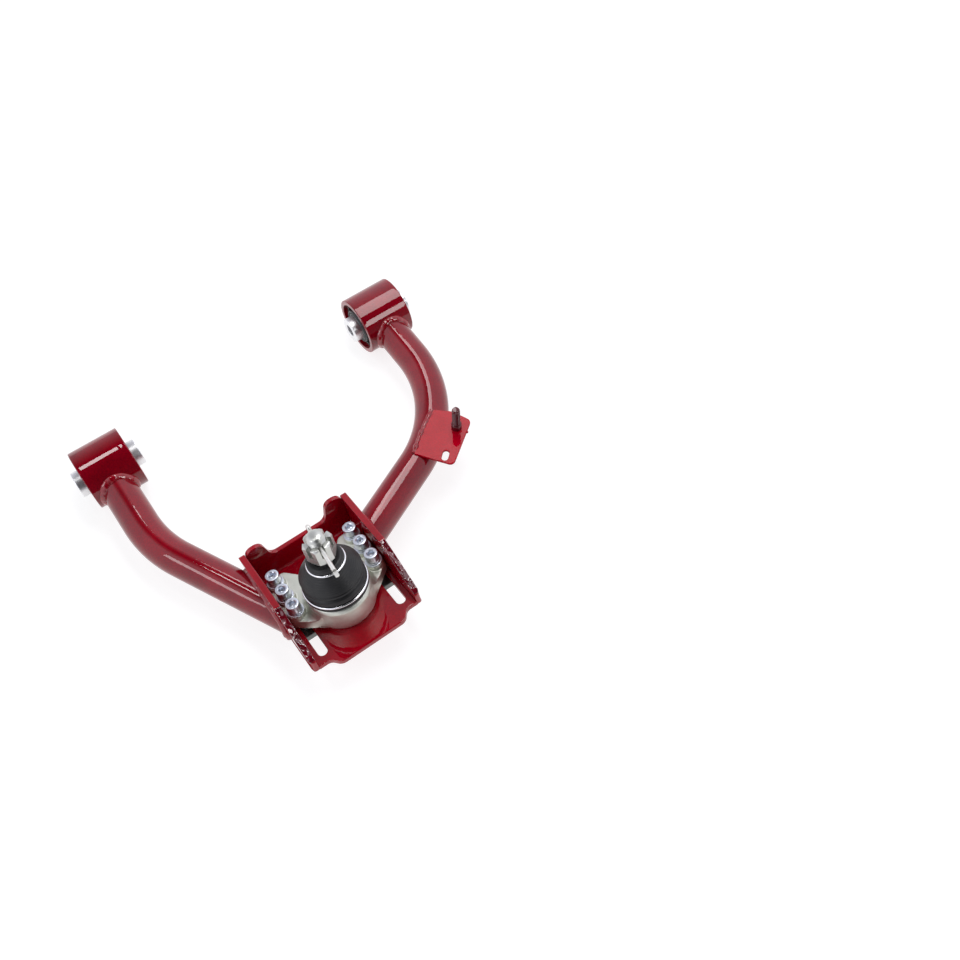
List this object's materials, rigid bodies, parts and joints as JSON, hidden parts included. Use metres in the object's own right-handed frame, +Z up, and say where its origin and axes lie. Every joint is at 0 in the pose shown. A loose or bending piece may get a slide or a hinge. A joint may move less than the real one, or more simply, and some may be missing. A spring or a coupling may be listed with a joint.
{
  "type": "suspension control arm",
  "caption": "Tubular two-bush control arm with a slotted box and a sliding ball-joint cartridge with boot, stud, castle nut and split pin.",
  "frame": {"origin": "centre of the front pivot bore", "axes": "+X along the pivot axis from the front to the rear bush, -Y outboard towards the ball joint, +Z up, the side the stud points to"},
  "size_m": [0.374, 0.3299, 0.127],
  "materials": {
    "paint_red": "gloss wine-red paint",
    "polished_steel": "polished",
    "zinc_plated": "satin zinc plating",
    "bright_screws": "bright zinc",
    "dark_steel": "dark, matt",
    "rubber_black": "matt",
    "liner_plastic": "plain",
    "wire_steel": "bright"
  },
  "bodies": {
    "arm": {"front_pivot_housing": "paint_red", "rear_pivot_housing": "paint_red", "front_tube": "paint_red", "rear_tube": "paint_red", "base_plate": "paint_red", "front_side_plate": "paint_red", "rear_side_plate": "paint_red", "line_bracket": "paint_red", "bracket_stud": "paint_red", "front_housing_weld": "paint_red", "rear_housing_weld": "paint_red", "front_box_weld": "paint_red", "rear_box_weld": "paint_red", "box_seam_welds": "paint_red", "bracket_weld": "paint_red", "front_bush_shell": "dark_steel", "rear_bush_shell": "dark_steel", "front_bush_rubber": "rubber_black", "rear_bush_rubber": "rubber_black"},
    "front_bush_sleeve": {"front_sleeve": "polished_steel"},
    "rear_bush_sleeve": {"rear_sleeve": "polished_steel"},
    "cartridge": {"joint_housing": "zinc_plated", "clamp_screws": "bright_screws", "flat_washers": "bright_screws", "spring_washers": "bright_screws", "front_nut_plate": "dark_steel", "rear_nut_plate": "dark_steel", "lower_seat": "liner_plastic", "upper_seat": "liner_plastic", "retaining_collar": "dark_steel", "lower_boot_ring": "wire_steel"},
    "boot_body": {"boot": "rubber_black"},
    "boot_neck": {"upper_boot_ring": "wire_steel"},
    "stud": {"ball_stud": "zinc_plated", "castle_nut": "zinc_plated"},
    "split_pin": {"cotter_pin": "bright_screws"}
  },
  "joints": [
    {"name": "front_bush_turn", "type": "hinge", "parent": "arm", "child": "front_bush_sleeve", "pos_m": [0, 0, 0], "axis": [1, 0, 0], "range_deg": [-30, 30], "stiffness_Nm_per_rad": 25},
    {"name": "rear_bush_turn", "type": "hinge", "parent": "arm", "child": "rear_bush_sleeve", "pos_m": [0.308, 0, 0], "axis": [1, 0, 0], "range_deg": [-30, 30], "stiffness_Nm_per_rad": 25},
    {"name": "camber_slide", "type": "slide", "parent": "arm", "child": "cartridge", "axis": [0, -0.9613, 0.2756], "range_m": [0, 0.038]},
    {"name": "ball_tilt_x", "type": "hinge", "parent": "cartridge", "child": "boot_body", "pos_m": [0.1103, -0.24449, 0.01607], "axis": [1, 0, 0], "range_deg": [-15, 15], "deforming": ["boot"]},
    {"name": "ball_tilt_y", "type": "hinge", "parent": "boot_body", "child": "boot_neck", "pos_m": [0.1103, -0.24449, 0.01607], "axis": [0, 0.9613, -0.2756], "range_deg": [-15, 15], "deforming": ["boot"]},
    {"name": "stud_spin", "type": "hinge", "parent": "boot_neck", "child": "stud", "pos_m": [0.1103, -0.24449, 0.01607], "axis": [0, 0.2756, 0.9613], "continuous": true},
    {"name": "pin_pull", "type": "slide", "parent": "stud", "child": "split_pin", "axis": [0.0872, 0.9576, -0.2746], "range_m": [0, 0.066]}
  ],
  "couplings": [
    {"joint": "rear_bush_turn", "follows": "front_bush_turn", "ratio": 1}
  ]
}
